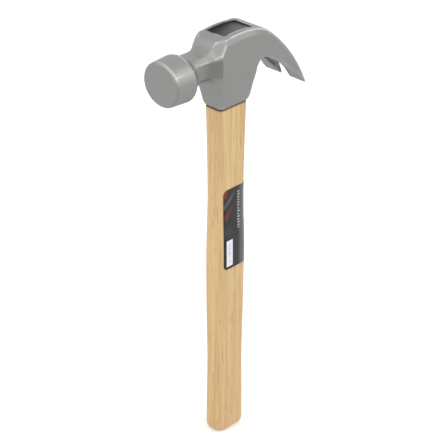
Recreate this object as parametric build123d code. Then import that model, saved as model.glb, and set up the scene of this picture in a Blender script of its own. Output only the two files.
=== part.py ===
from build123d import *
import os
from math import asin, degrees

# Claw hammer: a forged steel head wedged onto a wooden handle. Millimetres, +Z up along the handle.
# The origin is the centre of the handle's butt. The striking face looks along -X, the claws reach
# along +X, and Y is across the hammer. Everything is even about the plane y = 0.

# Overall sizes
overall_length = 331.5   # from the butt to the crown of the head
bell_reach = 63.0        # from the handle's axis to the striking face
claw_reach = 62.3        # from the handle's axis to the claw tips
head_height = 55.1       # from the crown to the socket's rim

# Heights on the head, each measured down from the crown
eye_rim_drop = 1.2       # ends of the eye, where the arched top starts
brow_drop = 11.2         # where the cheek's front edge turns back to the top
bell_axis_drop = 22.5
throat_drop = 24.8       # top of the throat between the claws and the socket
cheek_height = 28.5      # where the flat cheeks end and the tapered socket begins
claw_drop = 54.8         # claw tips

# Bell, the round striking end
bell_length = 15.9
bell_half_width = 16.8   # at the striking face
bell_half_height = 16.0
bell_swell = 1.0         # how much larger the barrel is at its back
face_bevel = 1.1

# Neck between the bell and the cheeks, an eight-sided bar. Heights are above the bell's axis.
neck_half_width = 10.5
neck_flat_half_width = 7.0
neck_top = 12.0
neck_ridge = 8.9         # upper edge of the side facet
neck_side_foot = -2.8    # lower edge of the side facet
neck_foot = -7.0

# Cheeks and claws
cheek_front = 18.7       # from the handle's axis to the cheeks' front edge
cheek_half_width = 14.7
socket_back = 18.0       # from the handle's axis to the socket's back under the throat
brow_slope = 4.7         # how far the brow leans back between the cheek's edge and the top
top_edge_round = 2.0
knuckle_run = 10.2       # from the eye's back rim to where the claws' curve begins
knuckle_drop = 3.2
claw_back_bulge = 4.6    # rise of the claws' outer arc over its chord
claw_belly_bulge = 2.9
claw_tip_half_width = 20.9
claw_tip_land = 0.7      # thickness of the chisel edge
throat_width = 7.2

# Nail slot, a V cut from the tips
slot_root_x = 30.0
slot_tip_half_width = 3.6
slot_root_half_width = 0.7
slot_bevel = 0.7         # chamfer along the slot's underside

# Handle
neck_length = 27.6       # section under the head, along X
neck_width = 16.6
neck_round = 3.5
shoulder_gap = 0.5       # between the socket's rim and the handle's shoulder
butt_round = 4.0
# share of the shaft's length, length in X, width in Y, corner radius
handle_stations = [
    (0.0, 28.6, 18.4, 7.4),
    (0.08, 27.8, 18.1, 6.5),
    (0.235, 26.3, 17.4, 5.7),
    (0.4, 27.0, 17.7, 5.0),
    (0.56, 27.3, 17.7, 4.8),
    (0.743, 25.6, 16.2, 4.4),
    (0.888, 26.4, 16.2, 3.8),
]

# Eye and what fills it
eye_length = 28.0
eye_width = 16.2
eye_shift = 3.5          # the eye's top is this far towards the claws
eye_round = 0.6
rim_lap = 1.9            # the eye reaches this far past the end of the arched top
tenon_shoulder = 1.3     # step from the handle to the tenon, all round
tenon_depth = 3.7        # tenon's end below the eye's rim
sealant_recess = 0.7     # resin's surface below the eye's rim
kerf_depth = 36.6
kerf_top_width = 3.4
kerf_foot_width = 0.8
steel_wedge_width = 11.0
steel_wedge_depth = 19.0
steel_wedge_top = 2.6
steel_wedge_edge = 0.5
steel_wedge_spread = 6.6  # each steel wedge's distance from the eye's centre

# Label, a printed vinyl wrap
label_height = 65.6
label_drop = 64.8        # from the socket's rim to the label's top edge
label_edge = 10.3        # from the handle's axis to the label's front edges
label_thick = 0.25
label_corner = 2.5

# Heights above the butt and places along X that follow from the sizes above
crown_z = overall_length
eye_rim_z = crown_z - eye_rim_drop
brow_z = crown_z - brow_drop
bell_axis_z = crown_z - bell_axis_drop
throat_z = crown_z - throat_drop
cheek_foot_z = crown_z - cheek_height
claw_tip_z = crown_z - claw_drop
head_foot_z = crown_z - head_height
shoulder_z = head_foot_z - shoulder_gap
tenon_top_z = eye_rim_z - tenon_depth
kerf_foot_z = tenon_top_z - kerf_depth
face_x = -bell_reach
bell_back_x = face_x + bell_length
neck_run = -cheek_front - bell_back_x
brow_top_x = brow_slope - cheek_front
rim_back_x = eye_shift + eye_length / 2 - rim_lap


def across(x):
    """Plane square to the striking axis: its x is Y, its y is height above the bell's axis."""
    return Plane(origin=(x, 0, bell_axis_z), x_dir=(0, 1, 0), z_dir=(1, 0, 0))


def level(z, x=0.0):
    return Plane(origin=(x, 0, z), x_dir=(1, 0, 0), z_dir=(0, 0, 1))


def rounded_box(z, length, width, radius, x=0.0):
    return level(z, x) * RectangleRounded(length, width, radius)


def side_sheet(outline, half_width):
    """Extrudes an outline drawn in x and z to both sides of the middle plane."""
    side = Plane.XZ * make_face(outline)
    return extrude(side, amount=half_width, both=True)


def bell():
    """A slightly tapered barrel with a bevelled face, drawn in at its back to run into the neck."""
    wide, high = bell_half_width + bell_swell, bell_half_height + bell_swell
    front = across(face_x) * Ellipse(bell_half_width, bell_half_height)
    barrel = loft([front, across(bell_back_x) * Ellipse(wide, high)])
    barrel = chamfer(barrel.edges().sort_by(Axis.X)[0], face_bevel)
    # share of the neck's run, and how far the width and the height are drawn in
    back = [
        (0.0, 0.0, 0.0),
        (0.056, 0.5, 0.5),
        (0.148, 3.2, 2.6),
        (0.264, 6.2, 4.9),
        (0.458, 8.0, 7.2),
    ]
    ends = [
        across(bell_back_x + share * neck_run) * Ellipse(wide - a, high - b) for share, a, b in back
    ]
    return barrel + loft(ends)


def neck_outline(x, flat, top, half_width, ridge, foot_half_width, side_foot, foot):
    """An eight-sided section, even about the middle plane."""
    points = [
        (flat, top),
        (half_width, ridge),
        (foot_half_width, side_foot),
        (flat - 1.0, foot),
    ]
    left = [(-y, z) for y, z in reversed(points)]
    return across(x) * make_face(Polyline(*points, *left, close=True))


def neck():
    """From the cheeks' front to inside the bell, with ridges that run on into the cheek's corners."""
    front, wide, flat = -cheek_front, neck_half_width, neck_flat_half_width
    top, ridge, side_foot, foot = neck_top, neck_ridge, neck_side_foot, neck_foot
    brow, cheek = brow_z - bell_axis_z, cheek_half_width
    shelf = eye_rim_z - bell_axis_z
    cheek_foot = cheek_foot_z - bell_axis_z
    brow_sections = [
        (brow_top_x, cheek - top_edge_round, shelf, cheek, shelf - top_edge_round, cheek,
         cheek_foot, cheek_foot - 3.0),
        (front, 8.8, shelf - 1.2, cheek, brow, cheek, cheek_foot, foot - 4.0),
    ]
    bar_sections = [
        brow_sections[1],
        (front - 0.12 * neck_run, 8.0, top + 3.9, wide + 1.9, ridge + 0.9, wide + 0.6, side_foot - 1.9,
         foot - 1.6),
        (front - 0.27 * neck_run, flat + 0.3, top + 0.8, wide + 0.5, ridge, wide - 0.6, side_foot - 0.4,
         foot - 0.3),
        (front - 0.47 * neck_run, flat, top, wide, ridge, wide - 1.0, side_foot, foot),
        (front - 0.69 * neck_run, flat, top + 0.3, wide + 0.4, ridge, wide - 0.8, side_foot, foot),
        (front - 0.86 * neck_run, flat, top + 0.9, wide + 1.2, ridge, wide, side_foot, foot - 1.5),
        (bell_back_x - 2.0, flat, top + 1.6, wide + 2.6, ridge - 0.4, wide, side_foot,
         foot - 3.0),
    ]
    brow_block = loft([neck_outline(*s) for s in brow_sections], ruled=True)
    return brow_block + loft([neck_outline(*s) for s in bar_sections])


def claw_side():
    """The cheeks and claws seen from the side, in x and z."""
    crown_x = (brow_top_x + rim_back_x) / 2
    knuckle = (rim_back_x + knuckle_run, eye_rim_z - knuckle_drop)
    arch = ThreePointArc((brow_top_x, eye_rim_z), (crown_x, crown_z), (rim_back_x, eye_rim_z))
    bend = TangentArc((rim_back_x, eye_rim_z), knuckle, tangent=arch % 1)
    back = SagittaArc(knuckle, (claw_reach, claw_tip_z + claw_tip_land), claw_back_bulge)
    land = Line(back @ 1, (claw_reach - 0.3, claw_tip_z))
    throat_end = (socket_back + throat_width, throat_z)
    belly = SagittaArc(land @ 1, throat_end, -claw_belly_bulge)
    throat_start = (socket_back, cheek_foot_z)
    throat = ThreePointArc(throat_end, (socket_back + 0.44 * throat_width, throat_z), throat_start)
    foot = Polyline(throat_start, (brow_top_x, cheek_foot_z), (brow_top_x, eye_rim_z))
    return [arch, bend, back, land, belly, throat, foot]


def claw_plan():
    """The cheeks and claws seen from above: straight cheeks, then an even flare to the tips."""
    half, rise, run = cheek_half_width, claw_tip_half_width - cheek_half_width, 1 + claw_reach
    run = run - rim_back_x
    radius = (run**2 + rise**2) / (2 * rise)
    turn = degrees(asin(run / radius))
    near = JernArc((rim_back_x, -half), (1, 0), radius, -turn)
    far = JernArc((rim_back_x, half), (1, 0), radius, turn)
    cheeks = Polyline((rim_back_x, half), (brow_top_x, half), (brow_top_x, -half), near @ 0)
    return [near, Line(near @ 1, far @ 1), far, cheeks]


def cheeks_and_claws():
    slab = side_sheet(claw_side(), claw_tip_half_width + 2)
    block = slab & extrude(level(0) * make_face(claw_plan()), amount=2 * overall_length)
    top_faces = block.faces().filter_by(GeomType.CYLINDER).filter_by(lambda f: f.normal_at().Z > 0.3)
    rims = [e for f in top_faces for e in f.edges() if abs(e.center().Y) > cheek_half_width - 1]
    return fillet(rims, top_edge_round)


def slot_half_width(x):
    """Half the nail slot's width at x, on a straight line from its root to the claw tips."""
    share = (x - slot_root_x) / (claw_reach - slot_root_x)
    return slot_root_half_width + share * (slot_tip_half_width - slot_root_half_width)


def nail_slot():
    """The V between the claws, cut right through."""
    end = claw_reach + 4
    root, mouth = slot_half_width(slot_root_x), slot_half_width(end)
    outline = Polyline(
        (slot_root_x, -root), (end, -mouth), (end, mouth), (slot_root_x, root), close=True
    )
    return extrude(level(0) * make_face(outline), amount=2 * overall_length)


def slotted_claws():
    claws = cheeks_and_claws() - nail_slot()
    long_edges = claws.edges().filter_by(
        lambda e: abs(e.center().Y) < slot_tip_half_width
        and slot_root_x + 5 < e.center().X < claw_reach - 5
        and e.length > 20
    )
    return chamfer(long_edges.sort_by(Axis.Z)[:2], slot_bevel)


def socket():
    """Drawn in from the cheeks' foot to the rim, quickest at the rounded rim."""
    height = cheek_foot_z - head_foot_z
    rim_x, rim_y = neck_length / 2 - 0.1, neck_width / 2 + 0.1
    # share of the height, share of the draw in front and at the sides, the same behind, corner radius
    stations = [
        (-0.11, 0.0, 0.0, 1.5),
        (0.0, 0.02, 0.02, 1.8),
        (0.226, 0.17, 0.14, 2.6),
        (0.451, 0.36, 0.28, 3.4),
        (0.677, 0.54, 0.41, 3.9),
        (0.842, 0.67, 0.54, 4.0),
        (0.925, 0.77, 0.69, 3.9),
        (0.977, 0.89, 0.86, 3.7),
        (1.0, 1.0, 1.0, 3.4),
    ]
    faces = []
    for down, draw, back_draw, radius in stations:
        front = -cheek_front + 0.1 + draw * (cheek_front - 0.1 - rim_x)
        back = socket_back - back_draw * (socket_back - rim_x)
        half = cheek_half_width - draw * (cheek_half_width - rim_y)
        z = cheek_foot_z - down * height
        faces.append(rounded_box(z, back - front, 2 * half, radius, (front + back) / 2))
    return loft(faces)


def eye_block():
    """The tapered hole through the head, from below its foot to above the crown."""
    length, width = neck_length - 2 * tenon_shoulder, neck_width - 2 * tenon_shoulder
    foot = rounded_box(head_foot_z - 2, length, width, neck_round - 0.5)
    top = rounded_box(crown_z + 2, eye_length, eye_width, eye_round, eye_shift)
    return loft([foot, top])


def eye_slice(low, high):
    """The part of the eye's space between two heights."""
    span = extrude(level(low) * Rectangle(4 * eye_length, 4 * eye_width), amount=high - low)
    return eye_block() & span


def head():
    return slotted_claws() + socket() + neck() + bell() - eye_block()


def shaft(skin=0.0):
    """The handle below its shoulder, or the same grown by a skin."""
    stations = [*handle_stations, (1.0, neck_length, neck_width, neck_round)]
    sections = [
        rounded_box(share * shoulder_z, length + 2 * skin, width + 2 * skin, radius + skin)
        for share, length, width, radius in stations
    ]
    return loft(sections)


def taper(foot_width, top_width, depth, reach, x=0.0, across_x=False):
    """A wedge with its top at the tenon's end, thinning downwards along Y or along X."""
    low = tenon_top_z - depth
    outline = Polyline(
        (-foot_width / 2, low), (foot_width / 2, low),
        (top_width / 2, tenon_top_z), (-top_width / 2, tenon_top_z), close=True,
    )
    face = (Plane.XZ if across_x else Plane.YZ) * make_face(outline)
    return Pos(x, 0, 0) * extrude(face, amount=reach / 2, both=True)


def wood_wedge_blank():
    """Fills the kerf from end to end of the eye."""
    blade = taper(kerf_foot_width, kerf_top_width, kerf_depth, 4 * eye_length)
    return blade & eye_slice(head_foot_z, tenon_top_z)


def steel_wedge(side):
    x = eye_shift + side * steel_wedge_spread
    return taper(
        steel_wedge_edge, steel_wedge_top, steel_wedge_depth, steel_wedge_width, x, across_x=True
    )


def handle():
    body = shaft()
    body = fillet(body.faces().sort_by(Axis.Z)[0].edges(), butt_round)
    tenon = eye_slice(shoulder_z, tenon_top_z)
    return body + tenon - wood_wedge_blank() - steel_wedge(-1) - steel_wedge(1)


def eye_sealant():
    """Resin over the tenon and wedges, its top arched like the eye's rim and a little below it."""
    top_z = eye_rim_z - sealant_recess
    half, middle = eye_length / 2 + 4, (brow_top_x + rim_back_x) / 2
    left, right = middle - half, middle + half
    arch = ThreePointArc((left, top_z), (middle, crown_z - sealant_recess), (right, top_z))
    low = Polyline(arch @ 1, (right, tenon_top_z), (left, tenon_top_z), arch @ 0)
    return side_sheet([arch, low], eye_width) & eye_slice(tenon_top_z, crown_z)


def label():
    """A vinyl skin from the near face round the claw side to the far face."""
    reach = label_edge + neck_length
    middle_z = head_foot_z - label_drop - label_height / 2
    patch = Plane.XZ * Pos(reach / 2 - label_edge, middle_z)
    patch = patch * RectangleRounded(reach, label_height, label_corner)
    return (shaft(label_thick) - shaft()) & extrude(patch, amount=2 * neck_width, both=True)


def main():
    front, rear = steel_wedge(-1), steel_wedge(1)
    nodes = {
        "head": head(),
        "handle": handle(),
        "wood_wedge": wood_wedge_blank() - front - rear,
        "steel_wedge_front": front,
        "steel_wedge_rear": rear,
        "eye_sealant": eye_sealant(),
        "label": label(),
    }
    os.makedirs("parts", exist_ok=True)
    for name, shape in nodes.items():
        shape.label = name
        export_step(shape, f"parts/{name}.step")
        print(name, round(shape.volume, 1), "mm3,", len(shape.solids()), "solid")


main()
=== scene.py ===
import math

import bmesh
import bpy
import numpy as np
from mathutils import Matrix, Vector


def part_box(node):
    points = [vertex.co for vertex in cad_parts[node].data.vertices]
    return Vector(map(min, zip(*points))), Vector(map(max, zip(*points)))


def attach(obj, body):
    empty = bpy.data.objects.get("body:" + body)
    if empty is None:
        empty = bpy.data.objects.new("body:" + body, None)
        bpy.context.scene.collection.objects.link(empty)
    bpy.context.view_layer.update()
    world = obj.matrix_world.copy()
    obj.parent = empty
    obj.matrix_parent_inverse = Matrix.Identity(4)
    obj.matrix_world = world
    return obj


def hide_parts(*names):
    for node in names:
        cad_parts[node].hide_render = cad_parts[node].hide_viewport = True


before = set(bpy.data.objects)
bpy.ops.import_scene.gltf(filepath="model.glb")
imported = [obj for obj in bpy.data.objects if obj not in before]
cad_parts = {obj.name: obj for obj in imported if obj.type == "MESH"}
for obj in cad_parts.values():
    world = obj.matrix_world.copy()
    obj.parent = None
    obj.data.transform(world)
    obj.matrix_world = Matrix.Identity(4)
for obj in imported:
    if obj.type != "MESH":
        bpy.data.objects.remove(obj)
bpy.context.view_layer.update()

# Claw hammer. Dictionaries and shapes are in millimetres unless they say otherwise; the scene is in
# metres. The handle stands along +Z with its butt at z = 0, striking face towards -X, claws towards +X.
mm = 0.001


def vec(point):
    return np.array(point, float)


# Shader tools
class Wire:
    # one output socket; arithmetic on it adds Math nodes
    def __init__(self, nodes, socket):
        self.nodes = nodes
        self.socket = socket

    def maths(self, operation, first, second=None, clamp=False):
        values = {0: first} if second is None else {0: first, 1: second}
        return self.nodes.node("ShaderNodeMath", {"operation": operation, "use_clamp": clamp}, values)

    def __add__(self, other):
        return self.maths("ADD", self, other)

    def __radd__(self, other):
        return self.maths("ADD", other, self)

    def __sub__(self, other):
        return self.maths("SUBTRACT", self, other)

    def __rsub__(self, other):
        return self.maths("SUBTRACT", other, self)

    def __mul__(self, other):
        return self.maths("MULTIPLY", self, other)

    def __rmul__(self, other):
        return self.maths("MULTIPLY", other, self)

    def __truediv__(self, other):
        return self.maths("DIVIDE", self, other)

    def __pow__(self, other):
        return self.maths("POWER", self, other)

    def above(self, level):
        return self.maths("GREATER_THAN", self, level)

    def part(self):
        return self.maths("FRACT", self)

    def whole(self):
        return self.maths("FLOOR", self)

    def held(self):
        # kept between 0 and 1
        return self.maths("ADD", self, 0.0, clamp=True)

    def rise(self, low, high):
        # 0 below low, 1 above high, a straight line between
        values = {0: self, 1: low, 2: high, 3: 0.0, 4: 1.0}
        return self.nodes.node("ShaderNodeMapRange", {"clamp": True}, values)

    def band(self, low, high, soft):
        # 1 between low and high, with soft edges
        return self.rise(low - soft, low + soft) * (1 - self.rise(high - soft, high + soft))


class Nodes:
    # a node tree and the one method that adds nodes to it
    def __init__(self, tree):
        self.tree = tree

    def node(self, kind, settings=None, inputs=None, output=0):
        # gives the chosen output, or every output when output is None
        made = self.tree.nodes.new(kind)
        for key, value in (settings or {}).items():
            if key == "stops":
                for element, (place, colour) in zip(made.color_ramp.elements, value):
                    element.position, element.color = place, (*colour, 1.0)
            else:
                setattr(made, key, value)
        for key, value in (inputs or {}).items():
            if isinstance(value, Wire):
                self.tree.links.new(value.socket, made.inputs[key])
            else:
                made.inputs[key].default_value = value
        if output is None:
            return [Wire(self, socket) for socket in made.outputs]
        return Wire(self, made.outputs[output])

    def axes(self, where):
        return self.node("ShaderNodeSeparateXYZ", {}, {0: where}, None)


class Finish(Nodes):
    # one material, its shader, and what feeds it
    def __init__(self, name, settings):
        self.material = bpy.data.materials.new(name)
        self.material.use_nodes = True
        super().__init__(self.material.node_tree)
        self.shader = self.tree.nodes["Principled BSDF"]
        for socket, value in settings.items():
            self.shader.inputs[socket].default_value = value
        self.spot = self.node("ShaderNodeTexCoord", output="Object")

    def stretched(self, scale, turn=(0, 0, 0)):
        inputs = {"Vector": self.spot, "Rotation": turn, "Scale": scale}
        return self.node("ShaderNodeMapping", {"vector_type": "POINT"}, inputs)

    def grain(self, scale, detail, rough, turn=(0, 0, 0)):
        # noise with so many cells to the metre along each axis
        where = self.stretched(scale, turn)
        inputs = {"Vector": where, "Scale": 1.0, "Detail": detail, "Roughness": rough}
        return self.node("ShaderNodeTexNoise", {"noise_dimensions": "3D"}, inputs)

    def mix(self, factor, a, b):
        first, second = [c if isinstance(c, Wire) else (*c, 1.0) for c in (a, b)]
        settings = {"data_type": "RGBA", "blend_type": "MIX", "clamp_factor": True}
        return self.node("ShaderNodeMix", settings, {0: factor, 6: first, 7: second}, 2)

    def layered(self, base, layers):
        # each layer is a mask and the colour that it brings, one over another
        for mask, colour in layers:
            base = self.mix(mask, base, colour)
        return base

    def attribute(self, name):
        return self.node("ShaderNodeAttribute", {"attribute_name": name}, output="Fac")

    def bump(self, height, strength, distance):
        inputs = {"Height": height, "Strength": strength, "Distance": distance}
        self.feed("Normal", self.node("ShaderNodeBump", {}, inputs))

    def feed(self, socket, wire):
        self.tree.links.new(wire.socket, self.shader.inputs[socket])


# Mesh tools
def gridFaces(rows, columns, closed):
    # quads between neighbouring rows; a closed grid joins its last column to its first
    across = columns if closed else columns - 1
    row, column = np.meshgrid(np.arange(rows - 1), np.arange(across), indexing="ij")
    right = (column + 1) % columns
    corners = (row * columns + column, row * columns + right, (row + 1) * columns + right)
    return np.stack([*corners, (row + 1) * columns + column], axis=-1).reshape(-1, 4)


def makeMesh(name, points, faces):
    mesh = bpy.data.meshes.new(name)
    mesh.from_pydata(points.tolist(), [], [f.tolist() if hasattr(f, "tolist") else f for f in faces])
    mesh.update()
    return mesh


def addPiece(name, mesh, finish, node):
    # a smooth piece with its material, standing for a CAD node
    piece = bpy.data.objects.new(name, mesh)
    bpy.context.scene.collection.objects.link(piece)
    mesh.materials.clear()
    mesh.materials.append(finish.material)
    mesh.polygons.foreach_set("use_smooth", np.ones(len(mesh.polygons), bool))
    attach(piece, "root")
    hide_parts(node)
    return piece


def tubeMesh(name, shells):
    # each shell is an array of closed rings; neighbours join, and each end closes on a centre point
    points, faces, start = [], [], 0
    for rings in shells:
        rows, columns = rings.shape[:2]
        ends = np.stack([rings[0].mean(0), rings[-1].mean(0)])
        points.append(np.concatenate([rings.reshape(-1, 3), ends]))
        faces.extend((gridFaces(rows, columns, True) + start).tolist())
        first, last = start + rows * columns, start + rows * columns + 1
        step = np.arange(columns)
        after = (step + 1) % columns
        top = start + (rows - 1) * columns
        faces.extend(np.stack([np.full(columns, first), after + start, step + start], 1).tolist())
        faces.extend(np.stack([np.full(columns, last), step + top, after + top], 1).tolist())
        start += rows * columns + 2
    return makeMesh(name, np.concatenate(points), faces)


def tidyMesh(mesh, weld, sharpAngle):
    # welds doubles, points the faces outwards and keeps crisp edges crisp
    form = bmesh.new()
    form.from_mesh(mesh)
    bmesh.ops.remove_doubles(form, verts=form.verts, dist=weld)
    bmesh.ops.recalc_face_normals(form, faces=form.faces)
    form.to_mesh(mesh)
    form.free()
    mesh.set_sharp_from_angle(angle=math.radians(sharpAngle))


def smoothAlong(at, places, values):
    # a cubic through (places, values) with each slope taken from the two neighbours
    places, values = vec(places), vec(values)
    slopes = np.gradient(values, places, axis=0)
    left = np.clip(np.searchsorted(places, at, side="right") - 1, 0, len(places) - 2)
    gap = (places[left + 1] - places[left])[:, None]
    t = (at[:, None] - places[left][:, None]) / gap
    a, b = values[left], values[left + 1]
    u, v = slopes[left] * gap, slopes[left + 1] * gap
    return a + t * u + t**2 * (3 * (b - a) - 2 * u - v) + t**3 * (2 * (a - b) + u + v)


# The handle
handle = {
    "stations": [0.0, 0.08, 0.235, 0.4, 0.56, 0.743, 0.888, 1.0],  # share of the shaft's height
    "length": [28.6, 27.8, 26.3, 27.0, 27.3, 25.6, 26.4, 27.6],
    "width": [18.4, 18.1, 17.4, 17.7, 17.7, 16.2, 16.2, 16.6],
    "corner": [7.4, 6.5, 5.7, 5.0, 4.8, 4.4, 3.8, 3.5],
    "leastCorner": 0.8,
    "buttRound": 4.4,
    "buttRings": 9,
    "shoulderRun": 0.7,      # height over which the shoulder's edge turns in
    "shoulderInset": 0.45,
    "shoulderTurn": 0.3,     # share of the inset that is reached half way up
    "shoulderGap": 0.5,      # between the shoulder and the head's socket
    "tenonShoulder": 1.3,
    "tenonClear": 0.06,
    "tenonCorner": (3.0, 0.7),   # at the foot and at the top
    "tenonRings": 9,
    "kerfDepth": 36.6,
    "kerfTop": 3.4,
    "kerfFoot": 0.8,
    "arcPoints": 9,
    "flatPoints": 7,
    "rings": 150,
    "weld": 1e-6,            # metres
    "sharp": 40,             # degrees between faces that stay crisp
}
headLow, headHigh = [vec(c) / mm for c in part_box("head")]
_, handleHigh = [vec(c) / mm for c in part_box("handle")]
sealLow, sealHigh = [vec(c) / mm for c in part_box("eye_sealant")]
labelLow, labelHigh = [vec(c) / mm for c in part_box("label")]
shoulderZ = headLow[2] - handle["shoulderGap"]


def sectionSizes(z):
    # length, width and corner radius of the shaft at each height
    values = np.stack([handle["length"], handle["width"], handle["corner"]], 1)
    return smoothAlong(z / shoulderZ, handle["stations"], values)


def ringGuide():
    # round a box once: how far along each flat, and the outward direction, of every ring point
    guide = []
    turns = np.linspace(0, math.pi / 2, handle["arcPoints"])
    across = np.linspace(1, -1, handle["flatPoints"] + 2)[1:-1]
    for quarter, (sx, sy) in enumerate([(1, 1), (-1, 1), (-1, -1), (1, -1)]):
        angle = turns + quarter * math.pi / 2
        guide.append(np.stack([0 * angle + sx, 0 * angle + sy, np.cos(angle), np.sin(angle)], 1))
        along = across * (sx if quarter % 2 == 0 else sy)
        flat = np.stack([along, 0 * along + sy, 0 * along, 0 * along + sy], 1)
        side = np.stack([0 * along + sx, along, 0 * along + sx, 0 * along], 1)
        guide.append(flat if quarter % 2 == 0 else side)
    return np.concatenate(guide)


def boxRings(z, length, width, corner, shift=0.0):
    # x = along (length / 2 - corner) + corner cos(angle), and the same for y with sin(angle)
    guide = ringGuide()
    z, length, width, corner, shift = np.broadcast_arrays(*map(vec, (z, length, width, corner, shift)))
    half, deep, corner = length[:, None] / 2, width[:, None] / 2, corner[:, None]
    x = guide[:, 0] * (half - corner) + corner * guide[:, 2] + shift[:, None]
    y = guide[:, 1] * (deep - corner) + corner * guide[:, 3]
    return np.stack([x, y, np.broadcast_to(z[:, None], x.shape)], -1)


def shaftRings():
    # quarter round at the butt, inset = r (1 - sin(turn)) at z = r (1 - cos(turn)), shaft, shoulder
    turn = np.linspace(0, math.pi / 2, handle["buttRings"])
    r, run, end = handle["buttRound"], handle["shoulderRun"], handle["shoulderInset"]
    middle = np.linspace(r, shoulderZ - run, handle["rings"])[1:]
    z = np.concatenate([r * (1 - np.cos(turn)), middle, [shoulderZ - run / 2, shoulderZ]])
    inset = np.concatenate([r * (1 - np.sin(turn)), 0 * middle, [handle["shoulderTurn"] * end, end]])
    length, width, corner = sectionSizes(z).T
    corner = np.maximum(corner - inset, handle["leastCorner"])
    return boxRings(z, length - 2 * inset, width - 2 * inset, corner)


def tenonRings():
    # the tenon's foot, then a half on each side of the kerf; sizes run straight from foot to top
    tenonTop = handleHigh[2]
    kerfZ = tenonTop - handle["kerfDepth"]
    foot = vec([handle["length"][-1], handle["width"][-1]]) - 2 * handle["tenonShoulder"]
    top = (sealHigh - sealLow)[:2] - handle["tenonClear"]
    shiftTop = (sealHigh + sealLow)[0] / 2
    footCorner, topCorner = handle["tenonCorner"]

    def rings(low, high):
        z = np.linspace(low, high, handle["tenonRings"])
        t = (z - shoulderZ) / (tenonTop - shoulderZ)
        sizes = foot + t[:, None] * (top - foot)
        corner = footCorner + t * (topCorner - footCorner)
        return boxRings(z, sizes[:, 0], sizes[:, 1], corner, shiftTop * t), z

    shells = [rings(shoulderZ, kerfZ)[0]]
    for side in (1, -1):
        half, z = rings(kerfZ, tenonTop)
        t = (z - kerfZ) / (tenonTop - kerfZ)
        wall = (handle["kerfFoot"] + t * (handle["kerfTop"] - handle["kerfFoot"])) / 2
        half[..., 1] = side * np.maximum(side * half[..., 1], wall[:, None])
        shells.append(half)
    return shells


woodLook = {
    "pale": (0.615, 0.45, 0.215),
    "deep": (0.46, 0.29, 0.115),
    "rosy": (0.575, 0.36, 0.18),
    "pore": (0.33, 0.19, 0.085),
    "jointShade": (0.055, 0.032, 0.016),
    "pith": (-34.0, 41.0),       # centre of the growth rings at the butt, from the handle's axis
    "pithLean": (0.045, 0.02),   # how far it drifts for each mm of height
    "ringGap": 3.1,
    "ringWander": 16.0,          # how far the rings wander from round
    "lateWood": (0.45, 0.95, 1.0),   # shares of a ring where its dark band starts, is full and stops
    "jointShadeDrop": (1.5, 0.25),    # below the shoulder, where the painted shade under the head starts and is full
    "roughness": 0.46,
    "reliefDepth": 0.00012,      # metres
    # each grain: cells to the metre along X, Y and Z, detail, roughness
    "bend": ((22, 22, 5.5), 2.0, 0.5),
    "streak": ((330, 330, 9), 3.0, 0.6),
    "broad": ((60, 60, 5), 2.0, 0.5),
    "fibre": ((1500, 1500, 38), 2.0, 0.6),
    "pores": ((950, 950, 75), 1.0, 0.5),
}


def makeWood():
    # growth rings by the distance to a leaning pith, then streaks, fibre, pores and painted shade on
    # the shoulder under the head
    look = woodLook
    wood = Finish("lacqueredWood", {"Coat Weight": 0.12, "Coat Roughness": 0.25})
    x, y, z = wood.axes(wood.stretched((1 / mm, 1 / mm, 1 / mm)))
    grains = [wood.grain(*look[name]) for name in ("bend", "streak", "broad", "fibre", "pores")]
    bend, streak, broad, fibre, pores = grains
    (pithX, pithY), (leanX, leanY) = look["pith"], look["pithLean"]
    dx = x - pithX + z * leanX
    dy = y - pithY + z * leanY
    reach = (dx * dx + dy * dy) ** 0.5 + bend * look["ringWander"]
    ring = (reach / look["ringGap"]).part()
    start, full, stop = look["lateWood"]
    late = ring.rise(start, full) * (1 - ring.rise(full, stop))
    pore = pores.rise(0.635, 0.70)
    jointShade = z.rise(*[shoulderZ - drop for drop in look["jointShadeDrop"]])
    base = wood.mix(streak.rise(0.34, 0.68), look["pale"], look["deep"])
    layers = [
        (broad.rise(0.42, 0.68) * 0.75, look["rosy"]),
        (late * 0.38, look["deep"]),
        (fibre.rise(0.3, 0.75) * 0.22, look["deep"]),
        (pore * 0.55, look["pore"]),
        # painted shade just under the head's socket
        (jointShade * 0.92, look["jointShade"]),
    ]
    wood.feed("Base Color", wood.layered(base, layers))
    wood.feed("Roughness", look["roughness"] + fibre * 0.12 - late * 0.05)
    wood.bump(fibre * 0.5 - pore * 0.6 - late * 0.25, 0.35, look["reliefDepth"])
    return wood


woodFinish = makeWood()
shaftMesh = tubeMesh("woodHandle", [mm * r for r in [shaftRings(), *tenonRings()]])
tidyMesh(shaftMesh, handle["weld"], handle["sharp"])
addPiece("woodHandle", shaftMesh, woodFinish, "handle")
print("handle made")


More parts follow.
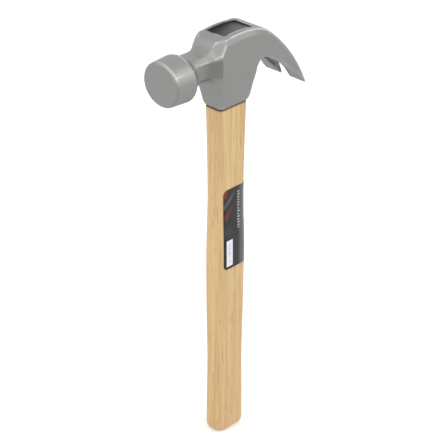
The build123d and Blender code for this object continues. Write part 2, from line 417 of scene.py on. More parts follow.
# The forged head. Places are along X, across Y and up Z from the handle's butt.
head = {
    "voxel": 0.52,           # grain of the surface that the soft edges are worked on
    "weld": 2e-6,            # metres
    "softPasses": 5,         # passes that ease every edge a little
    "inset": 0.01,           # how far the eased head stays inside its box
    "bevelNear": 1.7,        # the long bevel above the cheeks, measured across, on the label's side
    "bevelFar": 4.0,
    "bevelDrop": 4.6,        # and how far down the cheek it runs
    "bevelStart": (-17.5, -13.5),   # it fades in and out between these places along X
    "bevelEnd": (12.0, 26.0),
    "bevelMost": 1.4,        # share of the bevel's width that it may reach at the very top
    "cheek": 14.7,
    "leastHalf": 9.0,        # the bevel never cuts nearer to the middle
    "archRise": 1.2,         # crown of the head over the eye's ends
    "archMiddle": 0.8,
    "archHalf": 14.8,
    "slotRoot": (30.0, 0.7),      # place along X and half width of the nail slot's root
    "slotMouth": (62.3, 3.6),
    "slotBevel": (7.0, 1.7),      # the bevel under the slot's edges: width and depth
    "slotBevelRun": (27, 31),     # where it fades in
    "slotBevelLeast": 0.01,
    "slotTip": 61.5,              # where it is thinnest
    "slotCut": (46, 0.03),        # where it starts to thin, and its share of the width at the tip
    "slotShade": (53, 0.3),       # the same for its painted shade and dark scale
    "underside": (-0.8, 0, -0.6),   # the way that the claws' underside looks
    "undersideLeast": 0.12,       # how squarely a face looks that way to belong to it
    "hold": [                # where edges stay crisp: centre, radius, share kept
        ((-63.0, 0, 309.0), (3.2, 40, 40), 0.75),
        ((3.5, 0, 331.0), (18.0, 10.0, 4.5), 0.7),
        ((61.0, 0, 279.0), (7.0, 40, 9.0), 0.7),
    ],
    "ease": [                # where the forging blends widely: centre, radius, passes
        ((-19.5, 0, 299.0), (10.0, 18.0, 6.5), 90),
        ((-42.0, 0, 309.0), (7.0, 30.0, 30.0), 80),
        ((18.0, 0, 303.0), (7.0, 22.0, 6.5), 60),
        ((0.0, 0, 303.0), (21.0, 22.0, 5.0), 40),
        ((-17.5, 14.0, 324.0), (5.0, 4.0, 7.0), 14),
        ((-17.5, -14.0, 324.0), (5.0, 4.0, 7.0), 14),
        ((-18.7, 14.7, 308.0), (6.0, 6.0, 11.0), 45),
        ((-18.7, -14.7, 308.0), (6.0, 6.0, 11.0), 45),
    ],
}


def forgedMesh():
    # a welded copy of the head, re-meshed evenly so that its edges can be eased
    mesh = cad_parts["head"].data.copy()
    form = bmesh.new()
    form.from_mesh(mesh)
    bmesh.ops.remove_doubles(form, verts=form.verts, dist=head["weld"])
    form.to_mesh(mesh)
    form.free()
    worker = bpy.data.objects.new("headWorker", mesh)
    bpy.context.scene.collection.objects.link(worker)
    remesh = worker.modifiers.new("even", "REMESH")
    remesh.mode = "VOXEL"
    remesh.voxel_size = head["voxel"] * mm
    remesh.adaptivity = 0.0
    depsgraph = bpy.context.evaluated_depsgraph_get()
    even = bpy.data.meshes.new_from_object(worker.evaluated_get(depsgraph))
    bpy.data.objects.remove(worker)
    return even


def readVectors(items, name):
    values = np.zeros(len(items) * 3)
    items.foreach_get(name, values)
    return values.reshape(-1, 3)


def readEdges(mesh):
    edges = np.zeros(len(mesh.edges) * 2, int)
    mesh.edges.foreach_get("vertices", edges)
    return edges.reshape(-1, 2)


def neighbourMean(values, edges, counts):
    # the mean of each point's neighbours, for every column of values
    a, b = edges.T
    columns = []
    for column in values.T:
        total = np.bincount(a, column[b], len(column)) + np.bincount(b, column[a], len(column))
        columns.append(total / counts)
    return np.stack(columns, 1)


def nearness(points, centre, radius):
    # (1 - distance / radius) ^ 0.7: 1 at the centre, 0 at the ellipsoid's surface and beyond
    gap = np.sqrt((((points - vec(centre)) / vec(radius)) ** 2).sum(1))
    return np.clip(1 - gap, 0, 1) ** 0.7


def fade(values, low, high):
    # 0 below low, 1 above high, a straight line between
    return np.clip((values - low) / (high - low), 0, 1)


def span(values, rise, full, fall, end):
    # fades in from rise to full, and out again from fall to end
    return fade(values, rise, full) * (1 - fade(values, fall, end))


def crownHeight(x):
    # crown - rise ((x - middle) / half)^2
    return headHigh[2] - head["archRise"] * ((x - head["archMiddle"]) / head["archHalf"]) ** 2


def bevelCheeks(points):
    # |y| is held to the cheek's half width, less a bevel that narrows to nothing at its drop
    x, y, z = points.T
    share = np.clip(1 - (crownHeight(x) - z) / head["bevelDrop"], 0, head["bevelMost"])
    share *= span(x, *head["bevelStart"], *head["bevelEnd"])
    width = np.where(y > 0, head["bevelFar"], head["bevelNear"])
    limit = np.maximum(head["cheek"] - width * share, head["leastHalf"])
    inside = (np.abs(y) > limit) & (share > 0)
    points[:, 1] = np.where(inside, np.sign(y) * limit, y)
    return points


def slotShare(points, normals, thinning):
    # 1 at the nail slot's edge under the claws, 0 a bevel's width away from it
    x, y, _ = points.T
    (rootX, rootHalf), (mouthX, mouthHalf) = head["slotRoot"], head["slotMouth"]
    half = rootHalf + (mouthHalf - rootHalf) * fade(x, rootX, mouthX)
    thinFrom, tipShare = thinning
    start, full = head["slotBevelRun"]
    thin = 1 - (1 - tipShare) * fade(x, thinFrom, head["slotTip"])
    width = head["slotBevel"][0] * thin * fade(x, start, full) + head["slotBevelLeast"]
    under = normals @ vec(head["underside"]) > head["undersideLeast"]
    return np.clip(1 - (np.abs(y) - half) / width, 0, 1) * under * (x > start)


def easeHead(mesh):
    # each pass moves a point part of the way to its neighbours' mean
    points, edges = readVectors(mesh.vertices, "co") / mm, readEdges(mesh)
    counts = np.bincount(edges.ravel(), minlength=len(points))
    points = bevelCheeks(points)
    normals = readVectors(mesh.vertices, "normal")
    points -= normals * head["slotBevel"][1] * slotShare(points, normals, head["slotCut"])[:, None]
    start = points.copy()
    passes = np.full(len(points), float(head["softPasses"]))
    for centre, radius, share in head["hold"]:
        passes *= 1 - share * (nearness(start, centre, radius) > 0)
    for centre, radius, count in head["ease"]:
        passes += count * nearness(start, centre, radius)
    for step in range(int(passes.max())):
        strength = 0.5 * np.clip(passes - step, 0, 1)[:, None]
        points = points + strength * (neighbourMean(points, edges, counts) - points)
    points = np.clip(points, headLow + head["inset"], headHigh - head["inset"])
    mesh.vertices.foreach_set("co", (points * mm).ravel())
    mesh.update()
    return points, edges, counts


# Where the head is worn bright or stained, and where highlights and shade are painted on it. Two
# places: a mark fades in from the first to the second. Four places: it also fades out from the third to
# the fourth.
wear = {
    "evenPasses": 4,                      # evens out the bend of edges
    "widePasses": 30,                     # and of broad hollows
    "edgeBend": (0.045, 0.175),
    "hollowBend": (0.008, 0.058),
    "sideLine": (13.2, 317.6, 0.85),      # the bell's long painted highlight line: from the middle, height, radius
    "sideLineX": (-62.5, -60.5, -44.5, -38.5),
    "topLine": (0.2, 0.65, 0.5),          # the painted highlight line beside the eye: inset, radius, strength
    "topLineX": (-12, -8, 14, 26),
    "lines": [                            # painted highlight lines on both sides: ends, radius, strength
        ((-15.5, 14.6, 327.0), (-18.6, 14.5, 320.6), 0.8, 0.75),
        ((-18.6, 14.5, 320.6), (-23.0, 12.3, 318.7), 0.8, 0.8),
        ((-47.3, 1.5, 326.0), (-47.0, 8.5, 323.9), 0.7, 0.55),
    ],
    "rimX": -59.0,                        # the bell's rim is in front of this
    "rimFaceX": -62.5,                    # and its inner edge in front of this
    "rimDull": (0.8, 0.55),               # how much duller the rim's bright edge, wear and painted highlight, is on its rest and its inner edge
    "brightZ": (313.5, 317),              # the rim's painted highlight lies above this and on the near side
    "brightY": (2, 7),
    "clawX": (24, 30),                    # where the claws' edges grow dull
    "neckX": (-24, -21),                  # where the cheeks' front edge grows dull, and its heights
    "neckZ": (279, 316, 320),
    "dull": 0.75,
    "bellBackX": (-52, -48, -38, -31),    # the hollow behind the bell
    "bellBackDull": 0.7,
    "slotSide": (0.4, 0.6),               # how squarely a wall of the slot looks sideways
    "slotHalf": 6.0,
    "slotX": (28.5, 29.5),
    "slotShade": (0.02, 0.2),
    "underSlotX": 28,
    "sideways": (0.6, 0.75),              # the same for the neck's side facet
    "facetX": (-37, -27, -18.9, -17.4),
    "facetZ": (300, 304, 316.5, 318),
    "faceX": -61.3,                       # the lower rim's shade: in front of this, and this far
    "rimRadius": (14.8, 15.5),            # from the bell's axis
    "bellAxisZ": 309,
    "belly": (0.55, 0.8),                 # how squarely the claws' belly looks down
    "bellyX": (22, 27),
    "faintShade": 0.45,
    "eyeReach": 0.45,                     # how far past the eye its dark wall is marked
    "eyeFoot": 4,
    "eyeDepth": (0.05, 0.3),
    "farRimReach": 1.0,                    # the dark band on the far rim: width past the eye,
    "farRimEnd": 13,                       # end along X from the eye's middle, and darkness
    "farRimDark": 0.9,
}


def lineMark(points, start, end, radius):
    # e^-(distance / radius)^2 from the line between two places; both sides of the head at once
    along = vec(end) - vec(start)
    place = np.stack([points[:, 0], np.abs(points[:, 1]), points[:, 2]], 1) - vec(start)
    share = np.clip(place @ along / (along @ along), 0, 1)
    return np.exp(-(np.linalg.norm(place - share[:, None] * along, axis=1) / radius) ** 2)


def paintedHighlightLines(points):
    # the brightest of the painted highlight lines: the bell's side line, the line beside the eye, and
    # the short lines
    x, y, z = points.T
    away, height, radius = wear["sideLine"]
    gap = np.hypot(np.abs(y) - away, z - height) / radius
    line = np.exp(-(gap**2)) * span(x, *wear["sideLineX"])
    inset, radius, strength = wear["topLine"]
    edge = head["cheek"] - head["bevelNear"] - inset
    gap = np.hypot(np.abs(y) - edge, z - crownHeight(x) + inset) / radius
    line = np.maximum(line, strength * np.exp(-(gap**2)) * span(x, *wear["topLineX"]))
    for start, end, radius, strength in wear["lines"]:
        line = np.maximum(line, strength * lineMark(points, start, end, radius))
    return line


def eyeShade(points):
    # the eye's walls from just under the rim, black with resin and painted shade, and a dark band on
    # the far rim
    x, y, z = points.T
    middle = (sealLow + sealHigh) / 2
    reach = (np.abs(points - middle)[:, :2] - (sealHigh - sealLow)[:2] / 2).max(1)
    inside = (reach < wear["eyeReach"]) & (z > sealLow[2] - wear["eyeFoot"])
    farRimDark = (reach < wear["farRimReach"]) & (x < middle[0] + wear["farRimEnd"])
    farRimDark = farRimDark & (y > 0) & (z > sealLow[2])
    return np.maximum(inside * fade(crownHeight(x) - z, *wear["eyeDepth"]), farRimDark * wear["farRimDark"])


def markWear(mesh, points, edges, counts):
    # bend = how far a point stands out from its neighbours; edges get bright wear and a painted
    # highlight, and hollows get painted shade
    normals = readVectors(mesh.vertices, "normal")
    lift = points - neighbourMean(points, edges, counts)
    bend = (lift * normals).sum(1)[:, None] / head["voxel"] ** 2
    for _ in range(wear["evenPasses"]):
        bend = 0.5 * bend + 0.5 * neighbourMean(bend, edges, counts)
    wide = bend.copy()
    for _ in range(wear["widePasses"]):
        wide = neighbourMean(wide, edges, counts)
    x, y, z = points.T
    side = np.abs(normals[:, 1])
    # a painted highlight on the rim's upper near side
    highlightArc = fade(z, *wear["brightZ"]) * (1 - fade(y, *wear["brightY"]))
    rimDull, faceDull = wear["rimDull"]
    bright = 1 - rimDull * (1 - highlightArc) * (x < wear["rimX"])
    bright = bright * (1 - faceDull * (x < wear["rimFaceX"]))
    neckLow, neckStart, neckTop = wear["neckZ"]
    dull = fade(x, *wear["clawX"])
    dull += (1 - fade(z, neckStart, neckTop)) * fade(x, *wear["neckX"]) * (z > neckLow)
    brightShare = 1 - wear["dull"] * np.clip(dull, 0, 1)
    brightShare *= 1 - wear["bellBackDull"] * span(x, *wear["bellBackX"])
    # the slot's walls and the bevel under its edges: painted shade between the tines, and dark forging
    # scale
    wall = fade(side, *wear["slotSide"]) * (np.abs(y) < wear["slotHalf"]) * fade(x, *wear["slotX"])
    underSlot = fade(slotShare(points, normals, head["slotShade"]), *wear["slotShade"])
    underSlot = underSlot * (x > wear["underSlotX"])
    facet = fade(side, *wear["sideways"]) * span(x, *wear["facetX"]) * span(z, *wear["facetZ"])
    fromAxis = np.hypot(y, z - wear["bellAxisZ"])
    rim = (x < wear["faceX"]) * fade(fromAxis, *wear["rimRadius"]) * (1 - highlightArc)
    belly = fade(normals @ vec(head["underside"]), *wear["belly"]) * fade(x, *wear["bellyX"])
    marks = {
        # bright edges: partly polished wear, partly painted highlight
        "edgeWearAndHighlight": brightShare * bright * fade(bend[:, 0], *wear["edgeBend"]),
        # painted shade in hollows and creases
        "hollowShade": fade(-wide[:, 0], *wear["hollowBend"]),
        # the eye's walls: black resin and painted shade; the far rim darker
        "eyeWall": eyeShade(points),
        # painted highlight lines
        "paintedHighlightLine": paintedHighlightLines(points),
        # painted shade and dark scale in the nail slot
        "slotWallShadeAndScale": np.maximum(wall, underSlot),
        # painted shade on the neck's side facet and the lower rim; on the claws' belly partly painted
        # shade, partly a less polished underside
        "sideShade": np.maximum(facet, wear["faintShade"] * np.maximum(rim, belly)),
    }
    for name, values in marks.items():
        mesh.attributes.new(name, "FLOAT", "POINT").data.foreach_set("value", values)


steelLook = {
    "marks": ("edgeWearAndHighlight", "hollowShade", "eyeWall", "paintedHighlightLine", "slotWallShadeAndScale", "sideShade"),
    "face": (0.305, 0.305, 0.297),
    "cloudy": (0.36, 0.36, 0.352),
    "speck": (0.24, 0.24, 0.235),
    # the slot's walls: painted shade and dark scale
    "slotWallShadeAndScale": (0.05, 0.05, 0.048),
    # bright edges and lines: wear and painted highlight
    "wornAndHighlight": (0.86, 0.86, 0.835),
    # painted shade in hollows, also used for the side facets' painted shade
    "hollowShade": (0.16, 0.16, 0.152),
    # the eye's walls: black resin and painted shade
    "eyeWall": (0.012, 0.012, 0.012),
    "metallic": 0.92,
    "roughness": 0.40,
    "reliefDepth": 0.00003,    # metres
    # each grain: cells to the metre along X, Y and Z, detail, roughness
    "cloud": ((60, 60, 60), 3.0, 0.55),
    "fine": ((1900, 1900, 1900), 2.0, 0.6),
    "brushed": ((500, 5200, 5200), 2.0, 0.6),
}


def makeSteel():
    # satin steel, brushed along X, with painted shade in hollows and bright edges that are partly wear
    # and partly painted highlight
    look = steelLook
    settings = {"Specular IOR Level": 0.5, "Coat Weight": 0.1, "Coat Roughness": 0.3}
    steel = Finish("satinSteel", settings)
    cloud, fine, brushed = [steel.grain(*look[name]) for name in ("cloud", "fine", "brushed")]
    edge, hollowShade, eyeWall, line, slotWallShadeAndScale, shade = [steel.attribute(name) for name in look["marks"]]
    layers = [
        (fine.rise(0.35, 0.7) * 0.12, look["speck"]),
        # painted shade in hollows
        (hollowShade * 0.75, look["hollowShade"]),
        # painted shade on the side facets and the lower rim, and on the belly
        (shade * 0.6, look["hollowShade"]),
        # painted shade and dark scale in the nail slot
        (slotWallShadeAndScale * 0.85, look["slotWallShadeAndScale"]),
        # bright edges: wear and painted highlight
        (edge * 0.9, look["wornAndHighlight"]),
        # painted highlight lines
        (line * 0.7, look["wornAndHighlight"]),
        # black resin and painted shade in the eye
        (eyeWall, look["eyeWall"]),
    ]
    base = steel.mix(cloud.rise(0.3, 0.7) * 0.35, look["face"], look["cloudy"])
    rough = look["roughness"] + cloud * 0.1 + brushed * 0.06 - edge * 0.12 + eyeWall * 0.3
    steel.feed("Base Color", steel.layered(base, layers))
    steel.feed("Metallic", look["metallic"] - eyeWall * 0.9)
    steel.feed("Roughness", rough.held())
    steel.bump(brushed * 0.6 + fine * 0.4, 0.25, look["reliefDepth"])
    return steel


steelFinish = makeSteel()
headMesh = forgedMesh()
markWear(headMesh, *easeHead(headMesh))
addPiece("forgedHead", headMesh, steelFinish, "head")
print("head made,", len(headMesh.polygons), "faces")


# The resin over the eye
seal = {
    "clearance": 0.04,
    "recess": 1.9,           # below the eye's rim at the middle
    "archMiddle": 0.55,
    "archHalf": 14.6,
    "meniscus": 0.6,         # how high the resin climbs the walls
    "climb": 0.9,            # how far from the wall the climb fades
    "topGap": 0.02,          # how far its top and foot stay inside the CAD solid
    "nearWall": 0.5,         # how far from the wall the painted shade fades
    "resinLight": (0.42, 0.34, -0.42),   # painted light: in the middle, and how it changes along X and Y
    "columns": 90,
    "rows": 60,
    "weld": 1e-7,            # metres
    "sharp": 50,             # degrees
}


def sealMesh():
    # top surface: rim arch - recess + meniscus e^(-wall distance / climb) + a little unevenness
    low, high = sealLow, sealHigh
    middle, half = (low + high)[:2] / 2, (high - low)[:2] / 2 - seal["clearance"]
    u, v = np.meshgrid(np.linspace(-1, 1, seal["columns"]), np.linspace(-1, 1, seal["rows"]))
    u, v = np.sin(u * math.pi / 2), np.sin(v * math.pi / 2)
    x, y = middle[0] + u * half[0], middle[1] + v * half[1]
    wall = np.minimum(half[0] * (1 - np.abs(u)), half[1] * (1 - np.abs(v)))
    arch = headHigh[2] - head["archRise"] * ((x - seal["archMiddle"]) / seal["archHalf"]) ** 2
    ripple = 0.10 * np.sin(0.9 * x + 1.3) * np.sin(0.7 * y) + 0.07 * np.sin(1.9 * x - 0.8 * y)
    z = arch - seal["recess"] + seal["meniscus"] * np.exp(-wall / seal["climb"]) + ripple
    z = np.minimum(z, high[2] - seal["topGap"])
    top = np.stack([x, y, z], -1).reshape(-1, 3)
    base = top.copy()
    base[:, 2] = low[2] + seal["topGap"]
    faces = gridFaces(seal["rows"], seal["columns"], False)
    count = len(top)
    index = np.arange(count).reshape(seal["rows"], seal["columns"])
    border = np.concatenate([index[0], index[1:, -1], index[-1, -2::-1], index[-2:0:-1, 0]])
    after = np.roll(border, -1)
    walls = np.stack([border, border + count, after + count, after], 1)
    points = np.concatenate([top, base]) * mm
    mesh = makeMesh("eyeResin", points, [*faces, *(faces[:, ::-1] + count), *walls])
    near = np.concatenate([np.exp(-wall.ravel() / seal["nearWall"]), np.ones(count)])
    lightLevel, lightAlongX, lightAlongY = seal["resinLight"]
    resinLight = np.clip(lightLevel + lightAlongX * u + lightAlongY * v, 0, 1).ravel()
    marks = {"nearWall": near, "resinLight": np.concatenate([resinLight, resinLight])}
    for name, values in marks.items():
        mesh.attributes.new(name, "FLOAT", "POINT").data.foreach_set("value", values)
    return mesh


resinLook = {
    "bareResin": (0.012, 0.012, 0.012),
    "resinLit": (0.135, 0.135, 0.135),
    # painted shade along the walls
    "edge": (0.008, 0.008, 0.008),
    "roughness": 0.42,
    "reliefDepth": 0.0002,       # metres
    # each grain: cells to the metre along X, Y and Z, detail, roughness, turn
    "cloud": ((210, 520, 210), 3.0, 0.6, (0, 0, 0.35)),
    "grit": ((2600, 2600, 2600), 2.0, 0.6),
}


def makeResin():
    # near-black resin, with painted light towards the front corner and painted shade, darkest, along
    # the walls
    look = resinLook
    resin = Finish("setResin", {"IOR": 1.5, "Specular IOR Level": 0.25})
    cloud, grit = resin.grain(*look["cloud"]), resin.grain(*look["grit"])
    near = resin.attribute("nearWall")
    # painted light towards the front corner
    resinLight = (resin.attribute("resinLight") + cloud * 0.5 - 0.25).held()
    base = resin.mix(resinLight, look["bareResin"], look["resinLit"])
    # painted shade along the walls
    resin.feed("Base Color", resin.mix(near.rise(0.3, 0.8), base, look["edge"]))
    resin.feed("Roughness", look["roughness"] + cloud * 0.2)
    resin.bump(cloud * 0.7 + grit * 0.3, 0.4, look["reliefDepth"])
    return resin


resinMesh = sealMesh()
tidyMesh(resinMesh, seal["weld"], seal["sharp"])
addPiece("eyeResin", resinMesh, makeResin(), "eye_sealant")
print("resin made")


# The label
label = {
    "edge": 10.3,            # from the handle's axis to the front edges
    "corner": 3.6,
    "thick": 0.22,
    "lift": 0.02,
    "columns": 110,
    "rows": 90,
    "uvUnit": 100,           # mm to one unit of the label's UV map
}


def labelSections(z):
    # at each height: half flats along X and Y, corner radius, and the arc from a flat's end to the edge
    length, width, corner = [w.reshape(z.shape) for w in sectionSizes(z.ravel()).T]
    a, b = length / 2 - corner, width / 2 - corner
    return a, b, corner, corner * np.arcsin(np.clip((label["edge"] - a) / corner, 0, 1))


def roundTheHandle(p, z, lift):
    # the point p mm round the handle from the middle of its near face: flats joined by quarter arcs
    a, b, corner, _ = labelSections(z)
    bend = corner * math.pi / 2
    stops = [a, a + bend, a + bend + 2 * b, a + 2 * bend + 2 * b]
    arcs = [p - stops[0], p - stops[2], p - stops[3] - 2 * a]
    angle = sum(np.clip(arc, 0, bend) for arc in arcs) - np.clip(-a - p, 0, bend)
    angle = angle / corner - math.pi / 2
    x = np.clip(p, -a, a) - np.clip(p - stops[3], 0, 2 * a) + (corner + lift) * np.cos(angle)
    y = np.clip(p - stops[1], 0, 2 * b) - b + (corner + lift) * np.sin(angle)
    return np.stack([x, y, z], -1)


def labelMesh():
    # rows run up the handle, columns run round it from edge to edge, less the rounded corners
    rows, columns = label["rows"], label["columns"]
    height = labelHigh[2] - labelLow[2]
    t, s = np.meshgrid(np.linspace(0, 1, rows), np.linspace(0, 1, columns), indexing="ij")
    v = height * (1 - np.cos(math.pi * t)) / 2
    z = labelLow[2] + v
    a, b, corner, arc = labelSections(z)
    r = label["corner"]
    fromEnd = np.clip(np.minimum(v, height - v), 0, r)
    cut = r - np.sqrt(np.clip(r**2 - (r - fromEnd) ** 2, 0, None))
    wide = 4 * a + 2 * b + math.pi * corner + 2 * arc
    u = cut + s * (wide - 2 * cut)
    points = roundTheHandle(u - a - arc, z, label["lift"] + label["thick"]).reshape(-1, 3)
    mesh = makeMesh("labelWrap", points * mm, gridFaces(rows, columns, False))
    uv = mesh.uv_layers.new(name="print").data
    loops = np.zeros(len(mesh.loops), int)
    mesh.loops.foreach_get("vertex_index", loops)
    flat = np.stack([u, v], -1).reshape(-1, 2)[loops] / label["uvUnit"]
    uv.foreach_set("uv", flat.ravel())
    return mesh


# The label's print. u runs round the handle and v up it, both from the label's lower front corner.
printLook = {
    # the vinyl's own dark at the front, painted lighter towards the side, where more light falls
    "front": (0.009, 0.010, 0.007),
    "side": (0.040, 0.045, 0.047),
    "frontToLitSide": (0.0, 26.0),
    "red": (0.16, 0.026, 0.018),
    "green": (0.095, 0.115, 0.09),
    "violet": (0.045, 0.034, 0.062),
    "scuff": (0.055, 0.055, 0.05),
    "sheen": (0.24, 0.24, 0.25),
    "sheenU": (14.5, 23.0, 25.0, 31.0),       # painted sheen: where it starts, is full, fades and ends
    "paper": (0.68, 0.66, 0.73),
    "bars": (0.30, 0.29, 0.34),
    "ticks": (0.40, 0.41, 0.40),
    "sideTicks": (0.50, 0.51, 0.50),
    "slope": 0.85,                            # of the slanting bands
    "upper": (30.0, 42.0),                    # the bands fade in over these heights
    "redCorner": (57.5, 66.0, 1.6),           # along the slope: start, end, softness
    "redStreak": (39.0, 45.0, 2.6),
    "greenBand": (50.0, 53.4, 1.5),
    "violetBand": (27.0, 36.0, 2.5),
    "paperU": (2.6, 8.9),
    "paperV": (2.3, 23.8),
    "barPace": 2.6,                           # bars to the mm
    "ticksU": (14.0, 17.4),
    "ticksV": (31.0, 61.5),
    "tickPace": 2.3,                          # mm from tick to tick
    "sideTicksU": (19.6, 22.0),
    "sideTicksV": (36.0, 61.5),
    "sideTickPace": 1.6,
    "crisp": 0.12,
    "reliefDepth": 0.0002,                    # metres
    "mottle": ((160, 160, 160), 2.0, 0.5),    # cells to the metre, detail, roughness
}


def makeVinyl():
    # dark vinyl, painted lighter towards its side and with a painted sheen, then slanting bands, a
    # patch of bars and rows of ticks, laid one over another
    look = printLook
    settings = {"Coat Weight": 0.1, "Coat Roughness": 0.15, "Roughness": 0.4, "Specular IOR Level": 0.2}
    vinyl = Finish("printedVinyl", settings)
    u, v, _ = vinyl.axes(vinyl.node("ShaderNodeUVMap", {"uv_map": "print"}))
    u, v = u * label["uvUnit"], v * label["uvUnit"]

    def patch(alongU, alongV):
        return u.band(*look[alongU], look["crisp"]) * v.band(*look[alongV], look["crisp"])

    def chance(value):
        # a random number for each whole step of the value
        return vinyl.node("ShaderNodeTexWhiteNoise", {"noise_dimensions": "1D"}, {"W": value.whole()})

    slant = v - u * look["slope"]
    upper = v.rise(*look["upper"])
    corner = slant.band(*look["redCorner"]) * (1 - u.rise(2.0, 5.0))
    streak = slant.band(*look["redStreak"]) * (1 - u.rise(4.5, 11.0)) * u.rise(0.3, 1.8)
    green = slant.band(*look["greenBand"]) * upper * (1 - u.rise(7.0, 12.0))
    violet = v.band(*look["violetBand"]) * (1 - u.rise(7.0, 11.0))
    mottle = vinyl.grain(*look["mottle"])
    start, full, fades, end = look["sheenU"]
    # a painted sheen
    sheen = u.rise(start, full) * (1 - u.rise(fades, end))

    paper = patch("paperU", "paperV")
    (u0, u1), (v0, v1) = look["paperU"], look["paperV"]
    bars = chance(v * look["barPace"]).above(0.52)
    bars = bars * u.band(u0 + 1.6, u1 - 1.4, 0.08) * v.band(v0 + 1.8, v1 - 1.6, 0.08)

    beat = v / look["tickPace"]
    tickU = look["ticksU"][0]
    ticks = patch("ticksU", "ticksV") * beat.part().band(0.22, 0.74, 0.04)
    ticks = ticks * (1 - u.rise(tickU + 1.2, tickU + 1.6 + chance(beat) * 2.2))
    sideBeat = ((v + 0.6) / look["sideTickPace"]).part()
    sideTicks = patch("sideTicksU", "sideTicksV") * sideBeat.band(0.25, 0.7, 0.05)

    layers = [
        ((corner + streak * 0.75) * upper, look["red"]),
        (green * 0.75, look["green"]),
        (violet * 0.6, look["violet"]),
        (mottle.rise(0.4, 0.8) * 0.25, look["scuff"]),
        # painted sheen
        (sheen * 0.8, look["sheen"]),
        (paper, look["paper"]),
        (bars * paper * 0.6, look["bars"]),
        (ticks * 0.9, look["ticks"]),
        (sideTicks * 0.6, look["sideTicks"]),
    ]
    # painted light towards the side
    base = vinyl.mix(u.rise(*look["frontToLitSide"]), look["front"], look["side"])
    vinyl.feed("Base Color", vinyl.layered(base, layers))
    vinyl.bump(mottle, 0.08, look["reliefDepth"])
    return vinyl


wrap = addPiece("labelWrap", labelMesh(), makeVinyl(), "label")
solid = wrap.modifiers.new("thickness", "SOLIDIFY")
solid.thickness = label["thick"] * mm
solid.offset = -1.0
print("label made")


# The wedges inside the eye keep their own solids. Grains: cells to the metre, detail, roughness.
wedges = {
    "wood": {
        "settings": {},
        "tones": ((0.46, 0.30, 0.15), (0.32, 0.19, 0.09)),
        "grain": ((900, 900, 40), 3.0, 0.6),
        "roughness": (0.6, 0.2),           # least, and how much the grain adds
        "reliefDepth": 0.0001,
        "nodes": ["wood_wedge"],
    },
    "steel": {
        "settings": {"Metallic": 1.0},
        "tones": ((0.30, 0.30, 0.31), (0.18, 0.17, 0.165)),
        "grain": ((400, 400, 900), 3.0, 0.6),
        "roughness": (0.4, 0.25),
        "reliefDepth": 0.00005,
        "nodes": ["steel_wedge_front", "steel_wedge_rear"],
    },
}


def finishWedges(kind, look):
    finish = Finish(kind + "Wedge", look["settings"])
    grain = finish.grain(*look["grain"])
    least, added = look["roughness"]
    finish.feed("Base Color", finish.mix(grain.rise(0.3, 0.7), *look["tones"]))
    finish.feed("Roughness", least + grain * added)
    finish.bump(grain, 0.3, look["reliefDepth"])
    for node in look["nodes"]:
        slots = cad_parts[node].data.materials
        slots.clear()
        slots.append(finish.material)


for kind, look in wedges.items():
    finishWedges(kind, look)
print("wedges finished")


# Floor, light and camera. Metres and degrees.
studio = {
    "floorHalf": 6.0,
    "floorDrop": 0.0002,
    "floorGlow": 0.10,
    "floorTones": ((0.93, 0.93, 0.93), (0.95, 0.95, 0.95)),
    "skyLow": (0.38, (0.93, 0.93, 0.93)),   # place from nadir 0 to zenith 1, and colour
    "skyHigh": (0.62, (1.0, 1.0, 1.0)),
    "skyPower": 1.0,
    "azimuth": -46.3,
    "elevation": 29.6,
    "roll": 0.33,
    "distance": 1.163,
    "aim": (-0.0013, 0.1785),   # sideways from the handle's axis, and height
    "focal": 128.86,
    "sensor": 36.0,
    "clip": (0.05, 50),
    "lamps": [                  # place, aim, width, height, power
        ((-0.9, -1.5, 1.9), (0, 0, 0.25), 1.2, 1.2, 8.0),
        ((1.3, -1.2, 1.3), (0, 0, 0.25), 0.7, 1.4, 8.0),
        ((-1.6, 0.5, 1.1), (0, 0, 0.25), 0.6, 1.2, 6.0),
    ],
}


def makeFloor():
    # a level sheet just under the butt
    half = studio["floorHalf"]
    x, y = np.meshgrid(np.linspace(-half, half, 3), np.linspace(-half, half, 3))
    points = np.stack([x, y, 0 * x - studio["floorDrop"]], -1).reshape(-1, 3)
    mesh = makeMesh("floor", points, gridFaces(3, 3, False))
    settings = {"Roughness": 0.9, "Specular IOR Level": 0.1, "Emission Color": (1, 1, 1, 1)}
    plain = Finish("paleFloor", {**settings, "Emission Strength": studio["floorGlow"]})
    plain.feed("Base Color", plain.mix(plain.grain((3, 3, 3), 1.0, 0.5), *studio["floorTones"]))
    floor = bpy.data.objects.new("floor", mesh)
    bpy.context.scene.collection.objects.link(floor)
    mesh.materials.append(plain.material)
    floor.visible_glossy = False


def setAxes(thing, place, right, up, back):
    matrix = np.eye(4)
    matrix[:3] = np.stack([right, up, back, vec(place)], 1)
    thing.matrix_world = Matrix(matrix.tolist())


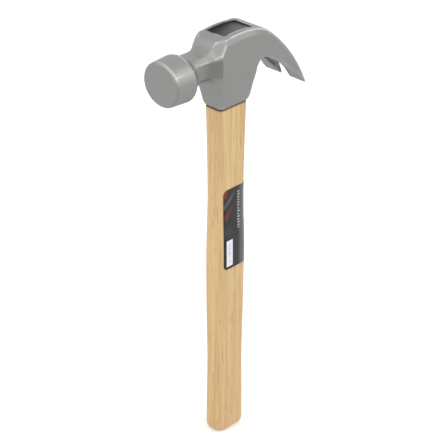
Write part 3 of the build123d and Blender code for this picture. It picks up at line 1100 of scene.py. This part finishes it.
def aimed(thing, place, target):
    # back points from the target to the place, right lies level, up is square to both
    back = vec(place) - vec(target)
    back = back / np.linalg.norm(back)
    right = np.cross([0, 0, 1], back)
    right = right / np.linalg.norm(right)
    setAxes(thing, place, right, np.cross(back, right), back)


def makeLamps():
    for number, (place, target, width, height, power) in enumerate(studio["lamps"]):
        lamp = bpy.data.lights.new(f"lamp{number}", "AREA")
        lamp.shape = "RECTANGLE"
        lamp.size, lamp.size_y, lamp.energy = width, height, power
        holder = bpy.data.objects.new(f"lamp{number}", lamp)
        bpy.context.scene.collection.objects.link(holder)
        aimed(holder, place, target)


def makeSky():
    # a plain sky, a little darker below the horizon, which glossy metal sees there
    world = bpy.data.worlds.new("studioWorld")
    world.use_nodes = True
    sky = Nodes(world.node_tree)
    background = world.node_tree.nodes["Background"]
    background.inputs["Strength"].default_value = studio["skyPower"]
    _, _, height = sky.axes(sky.node("ShaderNodeTexCoord", output="Generated"))
    stops = {"stops": (studio["skyLow"], studio["skyHigh"])}
    shade = sky.node("ShaderNodeValToRGB", stops, {"Fac": height * 0.5 + 0.5})
    world.node_tree.links.new(shade.socket, background.inputs["Color"])
    bpy.context.scene.world = world


def makeCamera():
    # back = (sin a cos e, -cos a cos e, sin e) for azimuth a and elevation e, then a small roll
    a, e, roll = [math.radians(studio[k]) for k in ("azimuth", "elevation", "roll")]
    back = vec([math.sin(a) * math.cos(e), -math.cos(a) * math.cos(e), math.sin(e)])
    level = vec([math.cos(a), math.sin(a), 0])
    rise = np.cross(back, level)
    right = level * math.cos(roll) + rise * math.sin(roll)
    up = rise * math.cos(roll) - level * math.sin(roll)
    sideways, height = studio["aim"]
    target = right * sideways + vec([0, 0, height])
    lens = bpy.data.cameras.new("camera")
    lens.sensor_width = studio["sensor"]
    lens.lens = studio["focal"]
    lens.clip_start, lens.clip_end = studio["clip"]
    camera = bpy.data.objects.new("camera", lens)
    bpy.context.scene.collection.objects.link(camera)
    setAxes(camera, target + back * studio["distance"], right, up, back)
    bpy.context.scene.camera = camera


makeFloor()
makeLamps()
makeSky()
makeCamera()
bpy.context.scene.view_settings.view_transform = "Standard"
print("studio made")

bpy.context.view_layer.update()
